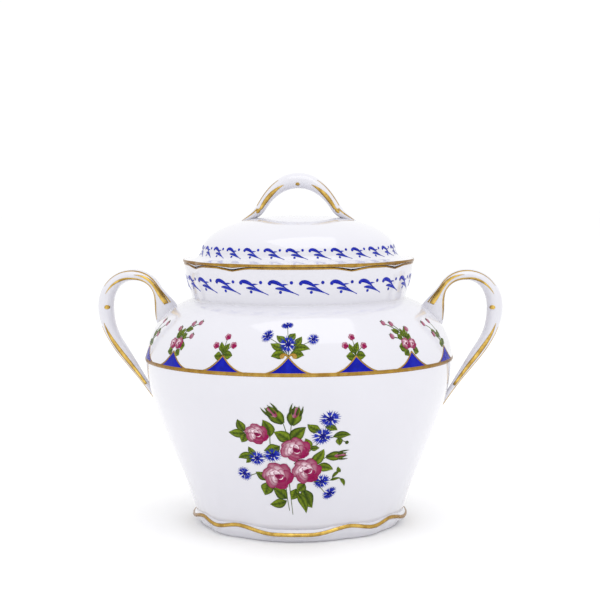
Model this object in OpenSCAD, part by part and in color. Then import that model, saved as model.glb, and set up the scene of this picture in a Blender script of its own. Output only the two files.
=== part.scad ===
// Porcelain sugar bowl with two side handles and a lift-off lid.
// The origin is the centre of the resting face, +Z is up and the handles lie along X.

/* [Bowl] */
// Radius of the bowl on its belly line
belly_r = 52.5; // [51.5:0.5:53.5]
// Height of the belly line
belly_z = 57.1; // [56.3:0.1:57.9]
// Radius of the bowl where it stands on the foot
waist_r = 35.7; // [35.4:0.1:36]
// Outer radius of the neck where it leaves the shoulder
neck_r = 36.4; // [36:0.1:36.8]
// Height at which the neck leaves the shoulder
neck_z = 77.3; // [76.8:0.1:77.8]
// Outer radius of the rim
rim_r = 39; // [38.6:0.1:39.1]
// Height of the rim
rim_z = 89.6; // [89.3:0.1:89.9]
// Thickness of the bowl's wall
wall = 2.8; // [2.4:0.1:3.2]

/* [Foot] */
// Height of the foot ring
foot_h = 4.6; // [4.3:0.1:5]
// Outer radius of the foot's lobes
foot_r = 36.4; // [36.2:0.1:36.8]
// Outer radius of the resting face
base_r = 34; // [33.5:0.1:34.5]
// Inner radius of the foot ring
foot_bore_r = 29.5; // [28:0.5:31]
// Depth of the notch between two lobes of the foot and of the lid
notch = 1.1; // [0.8:0.1:1.3]

/* [Lid] */
// Outer radius of the lid's lobes
lid_r = 39.3; // [39.2:0.1:39.8]
// Thickness of the lid's edge
edge_h = 0.9; // [0.8:0.05:1]
// Gap between the lid's edge and the rim
seat_gap = 0.15; // [0.1:0.05:0.25]
// Height of the top of the dome
dome_z = 105.4; // [104.8:0.1:106]
// Thickness of the lid's shell
lid_wall = 2.6; // [2.2:0.1:2.8]
// Depth of the locating ring below the lid's edge
collar_h = 7; // [5:0.5:7.5]
// Outer radius of the locating ring
collar_r = 33.3; // [33:0.1:33.4]

/* [Handles] */
// Width of a side handle, front to back
handle_w = 8.4; // [7.6:0.2:9.2]
// Height of the middle of the strap at the top of a side handle
handle_top_z = 85; // [84.4:0.1:85.6]
// Distance from the axis to the middle of the strap at its outermost point
handle_reach = 66.7; // [66:0.1:67.6]
// Width of the lid's handle, front to back
bow_w = 7.4; // [6.8:0.2:8]
// Height of the middle of the bow over the lid
bow_top_z = 117.1; // [116.6:0.1:117.6]

/* [Gilding] */
// Thickness of the fired gold bands
gilt_t = 0.2; // [0.2:0.05:0.3]
// Height of the gold band on the belly line
belly_band_h = 1.2; // [0.9:0.1:1.4]

/* [Hidden] */

porcelain = "whitesmoke";
gold = "goldenrod";

// Stretches of the outline, each a cubic curve given by its four control points
lower_wall = [[waist_r, foot_h], [38.8, 19], [51.6, 38.5], [belly_r, belly_z]];
shoulder = [[belly_r, belly_z], [51.6, 68], [44, 75.4], [neck_r, neck_z]];
neck = [[neck_r, neck_z], [37.2, 80.6], [38.7, 84.6], [rim_r, rim_z]];
lid_base_z = rim_z + seat_gap;
lid_top_z = lid_base_z + edge_h;
skirt_r = 37.6;
lid_shell_r = 33;
lid_shell_z = 93.4;
lid_skirt = [[skirt_r, lid_top_z], [35.8, 91], [33.7, 91.3], [lid_shell_r, lid_shell_z]];
lid_crown = [[lid_shell_r, lid_shell_z], [32.4, 99.2], [23.5, dome_z], [0, dome_z]];
curve_steps = 10;

// Heights of the gold bands and the width of their faces
foot_band_z = 2.3;
foot_band_h = 1.1;
foot_lobe_z = 1.3;
rim_band_h = 0.5;
lobes_wide = [0, 90, 180, 270];
lobes_narrow = [45, 135, 225, 315];
wide_half_angle = 30.5;

// Straps: control points of the middle line, as [x, z] chains of cubic curves
strap_path = [
    [44.5, 69.5], [46.2, 74], [47.4, 77.8], [49.4, 80.9],
    [51.4, 84], [54.2, handle_top_z], [57.2, handle_top_z],
    [62.6, handle_top_z], [handle_reach, 80.4], [handle_reach, 74],
    [handle_reach, 69.5], [65.2, 65.2], [62.6, 61.2],
    [59, 55.7], [54, 49.6], [46.4, 37]
];
strap_thick = [9.6, 3.2, 4, 5.5, 4.2, 1.4];
strap_wide = [0.7, 0.95, 1, 0.9, 0.8, 0.2];
bow_path = [
    [-19.4, 102.9], [-17.2, 104.6], [-14.4, 105.2], [-12.7, 108],
    [-10.4, 112], [-6.4, bow_top_z], [0, bow_top_z],
    [6.4, bow_top_z], [10.4, 112], [12.7, 108],
    [14.4, 105.2], [17.2, 104.6], [19.4, 102.9]
];
bow_thick = [1.2, 3.5, 5.4, 3.5, 1.2];
bow_wide = [0.35, 0.9, 1, 0.9, 0.35];
strap_steps = 8;
strap_sides = 14;

$fn = 240;

// Point of a cubic curve at t, and the points of one whole stretch
function cubic(c, t) =
    pow(1 - t, 3) * c[0] + 3 * pow(1 - t, 2) * t * c[1] + 3 * (1 - t) * t * t * c[2] + pow(t, 3) * c[3];
function stretch(c) = [for (i = [0:curve_steps]) cubic(c, i / curve_steps)];

// A path moved inwards by the thickness of the wall, square to its own direction
function inward(p, t) = [
    for (i = [0:len(p) - 1])
        let (a = p[max(i - 1, 0)], b = p[min(i + 1, len(p) - 1)], d = (b - a) / norm(b - a))
        [max(p[i].x - t * d.y, 0), p[i].y + t * d.x]
];

// Chains of cubic curves, numbered from 0 to the count of curves
function chain_count(c) = (len(c) - 1) / 3;
function chain_at(c, u) =
    let (k = min(floor(u), chain_count(c) - 1))
    cubic([for (j = [0:3]) c[3 * k + j]], u - k);
function blend_at(v, u) =
    let (k = min(floor(u), len(v) - 2), f = u - k, s = f * f * (3 - 2 * f))
    v[k] * (1 - s) + v[k + 1] * s;

// A strap with an oval section swept along a chain in the XZ plane
module strap(path, thick, wide) {
    rings = chain_count(path) * strap_steps;
    points = [
        for (i = [0:rings])
            let (
                u = i / strap_steps,
                p = chain_at(path, u),
                d = chain_at(path, min(u + 0.02, chain_count(path))) - chain_at(path, max(u - 0.02, 0)),
                n = [-d.y, d.x] / norm(d)
            )
            for (j = [0:strap_sides - 1])
                let (a = 360 * j / strap_sides, q = p + n * cos(a) * blend_at(thick, u) / 2)
                [q.x, sin(a) * blend_at(wide, u) / 2, q.y]
    ];
    sides = [
        for (i = [0:rings - 1], j = [0:strap_sides - 1])
            let (a = i * strap_sides, b = a + strap_sides, k = (j + 1) % strap_sides)
            [a + j, b + j, b + k, a + k]
    ];
    start = [for (j = [0:strap_sides - 1]) j];
    finish = [for (j = [strap_sides - 1:-1:0]) rings * strap_sides + j];
    polyhedron(points, concat([start], sides, [finish]), convexity = 6);
}

// One lobe of a lobed plate: a disc whose edge passes through the tip and both notches
module lobe(tip_r, half_angle, h) {
    notch_x = (tip_r - notch) * cos(half_angle);
    notch_y = (tip_r - notch) * sin(half_angle);
    drop = tip_r - notch_x;
    r = (drop * drop + notch_y * notch_y) / (2 * drop);
    translate([tip_r - r, 0, 0]) cylinder(r = r, h = h);
}

// A round plate whose edge has four wide lobes and four narrow ones
module lobed_plate(tip_r, h) {
    for (a = lobes_wide) rotate(a) lobe(tip_r, wide_half_angle, h);
    for (a = lobes_narrow) rotate(a) lobe(tip_r, 45 - wide_half_angle, h);
}

bowl_path = concat(stretch(lower_wall), [for (i = [1:curve_steps]) stretch(shoulder)[i]],
    [for (i = [1:curve_steps]) stretch(neck)[i]]);

// The bowl as a filled solid, and the space inside it
module bowl_outside() {
    rotate_extrude() polygon(concat([[0, foot_h]], bowl_path, [[0, rim_z]]));
}

module bowl_inside() {
    floor_z = foot_h + wall;
    walls = [for (p = inward(bowl_path, wall)) if (p.y > floor_z) p];
    rotate_extrude() polygon(concat(
        [[0, floor_z], [walls[0].x - wall, floor_z]], walls, [[rim_r - wall, rim_z + 1], [0, rim_z + 1]]
    ));
}

lid_path = concat(stretch(lid_skirt), [for (i = [1:curve_steps]) stretch(lid_crown)[i]]);

// The lid as a filled solid without its lobes, and the space under it
module lid_outside() {
    rotate_extrude() polygon(concat([[0, lid_base_z]], [[skirt_r, lid_base_z]], lid_path));
}

module lid_inside() {
    under = [for (p = inward(lid_path, lid_wall)) if (p.y > lid_top_z && p.x < collar_r - lid_wall) p];
    rotate_extrude() polygon(concat(
        [[0, lid_base_z - 1], [collar_r - lid_wall, lid_base_z - 1]], [[collar_r - lid_wall, under[0].y]], under
    ));
}

module bowl_body() {
    color(porcelain) difference() {
        bowl_outside();
        bowl_inside();
    }
}

// Lobed foot: a narrow resting ring under a wider lobed edge
module foot_ring() {
    color(porcelain) difference() {
        union() {
            cylinder(r1 = base_r, r2 = waist_r - notch, h = foot_lobe_z);
            translate([0, 0, foot_lobe_z]) lobed_plate(foot_r, foot_h - foot_lobe_z);
        }
        translate([0, 0, -1]) cylinder(r = foot_bore_r, h = foot_h + 2);
    }
}

// Side handle on +X: a strap that springs from the shoulder and ends in a tail below the belly line
module side_handle() {
    color(porcelain) difference() {
        strap(strap_path, strap_thick, handle_w * strap_wide);
        bowl_outside();
    }
}

module handle_right() {
    side_handle();
}

module handle_left() {
    mirror([1, 0, 0]) side_handle();
}

module lid_dome() {
    color(porcelain) difference() {
        union() {
            lid_outside();
            translate([0, 0, lid_base_z]) lobed_plate(lid_r, edge_h);
        }
        lid_inside();
    }
}

// Ring under the lid that drops inside the neck and keeps the lid on its seat
module lid_collar() {
    color(porcelain) translate([0, 0, lid_base_z - collar_h]) difference() {
        cylinder(r = collar_r, h = collar_h);
        translate([0, 0, -1]) cylinder(r = collar_r - lid_wall, h = collar_h + 2);
    }
}

module lid_handle() {
    color(porcelain) difference() {
        strap(bow_path, bow_thick, bow_w * bow_wide);
        lid_outside();
    }
}

module belly_gilt_band() {
    color(gold) difference() {
        translate([0, 0, belly_z - belly_band_h / 2]) cylinder(r = belly_r + gilt_t, h = belly_band_h);
        bowl_outside();
    }
}

module rim_gilt_band() {
    color(gold) difference() {
        translate([0, 0, rim_z - rim_band_h]) cylinder(r = rim_r + gilt_t, h = rim_band_h);
        bowl_outside();
    }
}

module foot_gilt_band() {
    color(gold) translate([0, 0, foot_band_z]) difference() {
        lobed_plate(foot_r + gilt_t, foot_band_h);
        translate([0, 0, -1]) lobed_plate(foot_r, foot_band_h + 2);
    }
}

module lid_gilt_band() {
    color(gold) translate([0, 0, lid_base_z]) difference() {
        lobed_plate(lid_r + gilt_t, edge_h);
        translate([0, 0, -1]) lobed_plate(lid_r, edge_h + 2);
    }
}

bowl_body();
foot_ring();
handle_left();
handle_right();
lid_dome();
lid_collar();
lid_handle();
belly_gilt_band();
rim_gilt_band();
foot_gilt_band();
lid_gilt_band();
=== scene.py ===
"""A lidded porcelain sugar bowl with gilding and enamel flowers, modelled on its own frame."""

import bisect
import math

import bmesh
import bpy
from bpy.props import FloatProperty, FloatVectorProperty, IntProperty, PointerProperty
from mathutils import Matrix, Quaternion, Vector


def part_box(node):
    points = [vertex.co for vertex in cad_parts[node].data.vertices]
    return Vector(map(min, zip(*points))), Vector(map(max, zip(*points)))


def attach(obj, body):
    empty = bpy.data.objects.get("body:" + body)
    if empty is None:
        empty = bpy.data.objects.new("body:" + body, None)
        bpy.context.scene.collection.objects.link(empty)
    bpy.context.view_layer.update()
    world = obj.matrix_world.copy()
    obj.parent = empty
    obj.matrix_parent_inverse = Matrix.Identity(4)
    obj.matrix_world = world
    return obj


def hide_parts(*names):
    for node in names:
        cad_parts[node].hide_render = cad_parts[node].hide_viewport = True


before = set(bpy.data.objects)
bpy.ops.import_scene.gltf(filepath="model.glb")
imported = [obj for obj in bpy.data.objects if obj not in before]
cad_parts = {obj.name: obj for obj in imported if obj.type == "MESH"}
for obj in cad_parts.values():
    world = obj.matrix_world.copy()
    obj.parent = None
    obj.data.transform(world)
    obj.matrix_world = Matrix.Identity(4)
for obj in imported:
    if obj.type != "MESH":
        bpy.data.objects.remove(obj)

bl_info = {
    "name": "Porcelain Sugar Bowl",
    "version": (1, 0, 0),
    "blender": (4, 5, 0),
    "location": "3D View > Sidebar > Sugar Bowl",
    "description": "Builds a gilded and painted porcelain sugar bowl with a lift-off lid",
    "category": "Add Mesh",
}

MM = 0.001
TURN = 2 * math.pi
SPIN_STEPS = 192
CURVE_STEPS = 24

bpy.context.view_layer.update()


def high(node, axis):
    """The far end of a node's box along one axis, in millimetres."""
    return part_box(node)[1]["xyz".index(axis)] / MM


def low(node, axis):
    """The near end of a node's box along one axis, in millimetres."""
    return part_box(node)[0]["xyz".index(axis)] / MM


BELLY_R = high("bowl_body", "x")
BELLY_Z = (low("belly_gilt_band", "z") + high("belly_gilt_band", "z")) / 2
RIM_Z = high("bowl_body", "z")
FOOT_H = high("foot_ring", "z")
FOOT_R = high("foot_ring", "x")
LID_R = high("lid_dome", "x")
LID_Z = low("lid_dome", "z")
DOME_Z = high("lid_dome", "z")
COLLAR_R = high("lid_collar", "x")
COLLAR_Z = low("lid_collar", "z")
BOW_TOP = high("lid_handle", "z")
HANDLE_X = high("handle_right", "x")
HANDLE_TOP = high("handle_right", "z")

WAIST_R = 35.7
NECK_R = 36.4
NECK_Z = 77.3
RIM_R = 39.0
SKIRT_R = 37.6
CROWN_R = 33.0
CROWN_Z = 93.4
EDGE_H = 0.9
LIP_R = 0.3
INNER_LIP_R = 0.9
FLARE_Z = 84.0
FLOOR_CORNER_R = 3.0
BOUQUET_UP = 26.0
SKIN_GRAIN = 0.3 * MM
LEAF_GOLD = 0.22 * MM
SUNK = 3
STRAP_STEPS = 12
STRAP_SIDES = 20
SAME_SPOT = 0.002
PETAL_LIFT = 0.09
BLOOM_LIFT = 0.1


# Sizes and colours that a user would change


class BowlSizes(bpy.types.PropertyGroup):
    """Sizes of the porcelain"""

    wall: FloatProperty(name="Wall", description="Thickness of the bowl's wall", default=2.8 * MM,
                        unit="LENGTH")
    lid_wall: FloatProperty(name="Lid wall", description="Thickness of the lid", default=2.6 * MM,
                            unit="LENGTH")
    notch: FloatProperty(name="Notch", description="Depth of the notch between two lobes", default=1.1 * MM,
                         unit="LENGTH")
    rim_dip: FloatProperty(name="Rim dip", description="How far the rim drops at a notch", default=1.2 * MM,
                           unit="LENGTH")
    foot_rise: FloatProperty(name="Foot rise", description="How far the foot's edge rises at a notch",
                             default=2.0 * MM, unit="LENGTH")
    strap: FloatProperty(name="Strap width", description="Width of a side handle from front to back",
                         default=8.0 * MM, unit="LENGTH")
    bow: FloatProperty(name="Bow width", description="Width of the lid's handle from front to back",
                       default=7.2 * MM, unit="LENGTH")


class DecorSizes(bpy.types.PropertyGroup):
    """Counts and sizes of the painted work"""

    neck_scrolls: IntProperty(name="Neck scrolls", description="Scrolls round the neck", default=24)
    lid_scrolls: IntProperty(name="Lid scrolls", description="Scrolls round the lid", default=28)
    peak_height: FloatProperty(name="Peak height", description="Height of a blue peak over the belly line",
                               default=5.5 * MM, unit="LENGTH")
    peak_turn: FloatProperty(name="Peak spacing", description="Angle from one blue peak to the next",
                             default=math.radians(24), subtype="ANGLE")
    enamel: FloatProperty(name="Enamel", description="Thickness of the fired enamel", default=0.06 * MM,
                          unit="LENGTH")


class FinishColours(bpy.types.PropertyGroup):
    """Colours of the glaze, the gold and the enamels"""

    porcelain: FloatVectorProperty(name="Porcelain", description="Colour of the glazed body",
                                   subtype="COLOR", default=(0.725, 0.72, 0.775))
    gold: FloatVectorProperty(name="Gold", description="Colour of the burnished gold", subtype="COLOR",
                              default=(0.83, 0.57, 0.14))
    # Besides gold laid thin, this colour is the painted shade that the gold's colour takes towards glancing
    # angles, where real gold mirrors dark surroundings.
    thin_gold_and_glancing_shade: FloatVectorProperty(name="Worn gold", description="Colour of the gold where it lies thin",
                                  subtype="COLOR", default=(0.22, 0.1, 0.012))
    cobalt: FloatVectorProperty(name="Cobalt", description="Colour of the deep blue enamel", subtype="COLOR",
                                default=(0.001, 0.004, 0.4))
    pale_blue: FloatVectorProperty(name="Pale blue", description="Colour of thin blue enamel",
                                   subtype="COLOR", default=(0.05, 0.1, 0.55))
    rose: FloatVectorProperty(name="Rose", description="Colour of the deep rose enamel", subtype="COLOR",
                              default=(0.29, 0.001, 0.075))
    pale_rose: FloatVectorProperty(name="Pale rose", description="Colour of thin rose enamel",
                                   subtype="COLOR", default=(0.97, 0.8, 0.88))
    leaf: FloatVectorProperty(name="Leaf", description="Colour of the light green enamel", subtype="COLOR",
                              default=(0.2, 0.28, 0.012))
    dark_leaf: FloatVectorProperty(name="Dark leaf", description="Colour of the dark green enamel",
                                   subtype="COLOR", default=(0.02, 0.045, 0.003))


class StageSettings(bpy.types.PropertyGroup):
    """Camera and light"""

    distance: FloatProperty(name="Distance", description="Camera's distance from the bowl's axis",
                            default=10.04 * BELLY_R * MM, unit="LENGTH")
    aside: FloatProperty(name="Aside", description="How far the camera stands to the right of its line",
                         default=0.4 * MM, unit="LENGTH")
    roll: FloatProperty(name="Roll", description="How far the camera leans to its right",
                        default=math.radians(-0.3), subtype="ANGLE")
    height: FloatProperty(name="Height", description="Camera's height over the table", default=0.1187,
                          unit="LENGTH")
    turn: FloatProperty(name="Turn", description="Camera's angle round the bowl", default=math.radians(3.7),
                        subtype="ANGLE")
    pitch: FloatProperty(name="Pitch", description="Camera's angle below the level",
                         default=math.radians(4.6), subtype="ANGLE")
    lens: FloatProperty(name="Lens", description="Focal length in millimetres", default=92.6)
    sky: FloatProperty(name="Sky", description="Strength of the light all round", default=1.03)
    key: FloatProperty(name="Key light", description="Power of the large light overhead", default=2.0,
                       unit="POWER")


# Outlines, in millimetres: x is the distance from the bowl's axis and y is the height


def cubic(points, t):
    """The point at t on a cubic curve."""
    a, b, c, d = (Vector(p) for p in points)
    s = 1 - t
    return a * s ** 3 + b * 3 * s * s * t + c * 3 * s * t * t + d * t ** 3


def stretch(points, steps=CURVE_STEPS):
    """One cubic curve as a row of points."""
    return [cubic(points, i / steps) for i in range(steps + 1)]


LOWER_WALL = stretch([(WAIST_R, FOOT_H), (38.8, 19), (51.6, 38.5), (BELLY_R, BELLY_Z)])
SHOULDER = stretch([(BELLY_R, BELLY_Z), (51.6, 68), (44, 75.4), (NECK_R, NECK_Z)])
NECK = stretch([(NECK_R, NECK_Z), (37.2, 80.6), (38.7, 84.6), (RIM_R, RIM_Z)])
LID_SKIRT = stretch([(SKIRT_R, LID_Z + EDGE_H), (35.8, 91), (33.7, 91.3), (CROWN_R, CROWN_Z)], 12)
LID_CROWN = stretch([(CROWN_R, CROWN_Z), (32.4, 99.2), (23.5, DOME_Z), (0, DOME_Z)])


def inward(points, thickness):
    """The row of points moved square to itself, into the porcelain."""
    moved = []
    for i, p in enumerate(points):
        along = (points[min(i + 1, len(points) - 1)] - points[max(i - 1, 0)]).normalized()
        moved.append(Vector((max(p.x - along.y * thickness, 0), p.y + along.x * thickness)))
    return moved


def arc(centre, radius, first, last, steps):
    """Points along an arc, with its angles in degrees from +x."""
    angles = [math.radians(first + (last - first) * i / steps) for i in range(steps + 1)]
    return [Vector((centre[0] + radius * math.cos(a), centre[1] + radius * math.sin(a))) for a in angles]


FOOT_OUTLINE = [Vector(p) for p in (
    (29.5, 0.5), (29.8, 0.1), (30.2, 0), (33.4, 0), (33.9, 0.15), (34.3, 0.6), (34.9, 1.4), (35.7, 1.9),
    (36.3, 2.2), (36.7, 2.6), (36.8, 3.0), (36.6, 3.4), (36.2, 3.8), (35.9, 4.3), (35.7, 4.6), (29.5, 4.6),
)]


class Wall:
    """An outline measured along its own length, which flat work is wrapped onto."""

    def __init__(self, points):
        self.points = points
        self.marks = [0.0]
        for a, b in zip(points, points[1:]):
            self.marks.append(self.marks[-1] + (b - a).length)

    def at(self, length):
        """The point at this length, and the direction straight out of the porcelain."""
        i = min(max(bisect.bisect(self.marks, length), 1), len(self.points) - 1)
        a, b = self.points[i - 1], self.points[i]
        along = (b - a).normalized()
        return a + along * (length - self.marks[i - 1]), Vector((along.y, -along.x))


NECK_SIDE = [p for p in NECK if p.y < RIM_Z - 2 * LIP_R]
LIP_OUTSIDE = arc((RIM_R - LIP_R, RIM_Z - LIP_R), LIP_R, 0, 90, 4)
LOWER = Wall(LOWER_WALL)
UPPER = Wall(SHOULDER)
COLLAR = Wall(NECK)
LID = Wall(LID_SKIRT + LID_CROWN[1:])


# Lobes of the foot and the rim: four wide ones on the axes and four narrow ones between them

WIDE_HALF = math.radians(30.5)
NARROW_HALF = math.radians(45) - WIDE_HALF
VEE_HALF = math.radians(9.5)


def off_axis(angle):
    """Angle from the nearest axis, from 0 to 45 degrees."""
    quarter = TURN / 4
    return abs((angle + quarter / 2) % quarter - quarter / 2)


def share_of(value, low_end, high_end):
    """How far the value has come from the low end to the high one, held between 0 and 1."""
    return min(max((value - low_end) / (high_end - low_end), 0), 1)


def notch_share(angle):
    """0 in the middle of a lobe and 1 in a notch."""
    a = off_axis(angle)
    if a <= WIDE_HALF:
        return (a / WIDE_HALF) ** 2
    return ((math.radians(45) - a) / NARROW_HALF) ** 2


def eased(share):
    """A smooth step from 0 to 1."""
    share = share_of(share, 0, 1)
    return share * share * (3 - 2 * share)


def lifted_share(angle):
    """How far the foot's edge has risen: flat under a wide lobe, and never quite down under a narrow one."""
    a = off_axis(angle)
    if a <= WIDE_HALF:
        return eased((a / WIDE_HALF - 0.3) / 0.7)
    return 0.35 + 0.65 * eased((math.radians(45) - a) / NARROW_HALF)


def notch_vee(angle):
    """1 in a notch, falling straight to 0 on either side."""
    return max(0.0, 1 - abs(off_axis(angle) - WIDE_HALF) / VEE_HALF)


# Mesh tools


def turned(bm, outline, closed):
    """Spins an outline once round the bowl's axis."""
    verts = [bm.verts.new((p.x, 0, p.y)) for p in outline]
    edges = [bm.edges.new(pair) for pair in zip(verts, verts[1:])]
    if closed:
        edges.append(bm.edges.new((verts[-1], verts[0])))
    bmesh.ops.spin(bm, geom=verts + edges, axis=(0, 0, 1), cent=(0, 0, 0), angle=TURN, steps=SPIN_STEPS,
                   use_merge=True)
    bmesh.ops.remove_doubles(bm, verts=bm.verts, dist=0.001)
    bmesh.ops.dissolve_degenerate(bm, edges=bm.edges, dist=0.0005)
    bmesh.ops.recalc_face_normals(bm, faces=bm.faces)


def shaped(bm, move):
    """Moves each vertex by a rule of its angle, radius and height."""
    for v in bm.verts:
        r = math.hypot(v.co.x, v.co.y)
        if r < 0.01:
            continue
        angle = math.atan2(v.co.y, v.co.x)
        new_r, new_z = move(angle, r, v.co.z)
        v.co = (new_r * math.cos(angle), new_r * math.sin(angle), new_z)


def finished(bm, name, body, replaced, material):
    """Makes the piece from its millimetre mesh, gives it its finish and fastens it to its body."""
    bmesh.ops.scale(bm, vec=(MM, MM, MM), verts=bm.verts)
    mesh = bpy.data.meshes.new(name)
    bm.to_mesh(mesh)
    bm.free()
    mesh.polygons.foreach_set("use_smooth", [True] * len(mesh.polygons))
    piece = bpy.data.objects.new(name, mesh)
    bpy.context.scene.collection.objects.link(piece)
    mesh.materials.append(bpy.data.materials[material])
    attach(piece, body)
    for node in replaced:
        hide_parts(node)
    return piece


def in_porcelain(bm, name, body, node):
    """Makes a piece of bare glazed porcelain, which stands for one node."""
    return finished(bm, name, body, (node,), "glazed_porcelain")


def settled(piece):
    """Replaces the piece's mesh by what its modifiers make of it."""
    shape = bpy.data.meshes.new_from_object(piece.evaluated_get(bpy.context.evaluated_depsgraph_get()))
    piece.modifiers.clear()
    piece.data = shape
    shape.polygons.foreach_set("use_smooth", [True] * len(shape.polygons))


# Straps: oval sections swept along chains of cubic curves in the XZ plane


class Strap:
    """A swept strap: its middle line, its thickness in the plane and its width across."""

    def __init__(self, path, thick, wide):
        self.path = [Vector(p) for p in path]
        self.thick = thick
        self.wide = wide
        self.count = (len(path) - 1) // 3

    def value(self, row, u):
        k = min(int(u), len(row) - 2)
        share = eased(u - k)
        return row[k] * (1 - share) + row[k + 1] * share

    def point(self, u):
        k = min(int(u), self.count - 1)
        return cubic(self.path[3 * k:3 * k + 4], u - k)

    def along(self, u):
        return (self.point(min(u + 0.02, self.count)) - self.point(max(u - 0.02, 0))).normalized()

    def surface(self, u, angle, lift=0.0):
        """The point on the strap at u, where angle 0 is its outer face and a quarter turn its front."""
        p, d = self.point(u), self.along(u)
        out = math.cos(angle) * (self.value(self.thick, u) / 2 + lift)
        front = math.sin(angle) * (self.value(self.wide, u) / 2 + lift)
        return Vector((p.x - d.y * out, -front, p.y + d.x * out))

    def swept(self, bm):
        """Carries a ring of vertices along the strap and closes both ends."""
        ring = bmesh.ops.create_circle(bm, segments=STRAP_SIDES, radius=1)["verts"]
        edges = list({e for v in ring for e in v.link_edges})
        self.lay(ring, 0)
        bmesh.ops.contextual_create(bm, geom=edges)
        for i in range(1, self.count * STRAP_STEPS + 1):
            made = bmesh.ops.extrude_edge_only(bm, edges=edges)["geom"]
            ring = [g for g in made if isinstance(g, bmesh.types.BMVert)]
            edges = [g for g in made if isinstance(g, bmesh.types.BMEdge)]
            edges = [e for e in edges if all(v in ring for v in e.verts)]
            self.step(ring, (i - 1) / STRAP_STEPS, i / STRAP_STEPS)
        bmesh.ops.contextual_create(bm, geom=edges)
        bmesh.ops.recalc_face_normals(bm, faces=bm.faces)

    def station(self, u):
        """The matrix that takes a unit circle to the section at u."""
        p, d = self.point(u), self.along(u)
        half_thick = self.value(self.thick, u) / 2
        half_wide = self.value(self.wide, u) / 2
        return Matrix((
            (-d.y * half_thick, 0, d.x, p.x),
            (0, -half_wide, 0, 0),
            (d.x * half_thick, 0, d.y, p.y),
            (0, 0, 0, 1),
        ))

    def lay(self, ring, u):
        for v in ring:
            v.co = self.station(u) @ v.co

    def step(self, ring, before, after):
        move = self.station(after) @ self.station(before).inverted()
        for v in ring:
            v.co = move @ v.co


REACH = HANDLE_X - 2.75
ARCH_Z = HANDLE_TOP - 2
STRAP_PATH = [
    (44.5, 69.5), (46.2, 74), (47.4, 77.8), (49.4, 80.9),
    (51.4, 84), (54.2, ARCH_Z), (57.2, ARCH_Z),
    (62.6, ARCH_Z), (REACH, 80.4), (REACH, 74),
    (REACH, 69.5), (65.2, 65.2), (62.6, 61.2),
    (59, 55.7), (54, 49.6), (46.4, 37),
]
BOW_Z = BOW_TOP - 2.7
BOW_PATH = [
    (-19.4, 102.9), (-17.2, 104.6), (-14.4, 105.2), (-12.7, 108),
    (-10.4, 112), (-6.4, BOW_Z), (0, BOW_Z),
    (6.4, BOW_Z), (10.4, 112), (12.7, 108),
    (14.4, 105.2), (17.2, 104.6), (19.4, 102.9),
]


def side_strap(sizes):
    w = sizes.strap / MM
    return Strap(STRAP_PATH, (9.6, 3.2, 4, 5.5, 4.2, 1.4), (w * 0.75, w, w, w * 0.9, w * 0.8, w * 0.2))


def bow_strap(sizes):
    w = sizes.bow / MM
    return Strap(BOW_PATH, (1.4, 3.5, 5.4, 3.5, 1.4), (w * 0.35, w * 0.9, w, w * 0.9, w * 0.35))


# Flat work: strokes of enamel or gold laid in a plane, then wrapped onto the porcelain


def painting():
    """An empty mesh that carries its colours in the attribute named paint."""
    bm = bmesh.new()
    bm.verts.layers.float_color.new("paint")
    return bm


def curve(*points):
    """A route along one curve: gives the place and the direction at t."""
    row = [Vector(p) for p in points]

    def at(t):
        level = row
        while len(level) > 2:
            level = [a.lerp(b, t) for a, b in zip(level, level[1:])]
        return level[0].lerp(level[1], t), (level[1] - level[0]).normalized()

    return at


def mix(a, b, share):
    """A colour that lies the given share of the way from a to b."""
    share = share_of(share, 0, 1)
    return tuple(x + (y - x) * share for x, y in zip(a, b))


def swell(widest, peak=0.5, start=0.0, end=0.0):
    """A width that swells from start to widest at the peak and falls to end."""

    def width(t):
        x, base = (t / peak, start) if t < peak else ((1 - t) / (1 - peak), end)
        return base + (widest - base) * math.sin(share_of(x, 0, 1) * math.pi / 2)

    return width


def rounded(widest):
    """The width of a round touch."""
    return lambda t: widest * math.sqrt(max(1 - (2 * t - 1) ** 2, 0))


def brush(bm, route, width, tint, lift, along=8, across=2):
    """One stroke: a grid laid along the route, as wide as asked and tinted from root to tip."""
    grid = bmesh.ops.create_grid(bm, x_segments=along, y_segments=across, size=0.5)["verts"]
    paint = bm.verts.layers.float_color["paint"]
    for v in grid:
        t = share_of(v.co.x, -0.5, 0.5)
        side = 2 * v.co.y
        place, run = route(t)
        half = width(t) / 2
        v.co = (place.x - run.y * side * half, place.y + run.x * side * half, lift)
        v[paint] = (*tint(t, side), 1)
    bmesh.ops.remove_doubles(bm, verts=grid, dist=SAME_SPOT)


def dot(bm, x, y, radius, tint, lift):
    """A round touch of the brush."""
    brush(bm, curve((x - radius, y), (x + radius, y)), rounded(2 * radius), tint, lift, 6, 2)


def wrapped(target, art, wall, turn, start):
    """Adds a copy of flat work, bent onto the wall: x runs round it, y up it and z stands off it."""
    first = len(target.verts)
    mesh = bpy.data.meshes.new("flat_work")
    art.to_mesh(mesh)
    target.from_mesh(mesh)
    bpy.data.meshes.remove(mesh)
    target.verts.ensure_lookup_table()
    girth = wall.at(start)[0].x
    for v in target.verts[first:]:
        point, out = wall.at(start + v.co.y)
        angle = turn + v.co.x / girth
        r = point.x + out.x * v.co.z
        v.co = (r * math.sin(angle), -r * math.cos(angle), point.y + out.y * v.co.z)


def fired(bm, name, body, material, depth):
    """Makes the wrapped work a piece and gives its strokes a thickness that sinks into the glaze."""
    thickened(finished(bm, name, body, (), material), depth * SUNK)


def thickened(piece, depth):
    """Gives laid strokes a thickness that reaches down from their face."""
    solid = piece.modifiers.new("thickness", "SOLIDIFY")
    solid.thickness = depth
    solid.offset = -1
    settled(piece)


# Motifs


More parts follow.
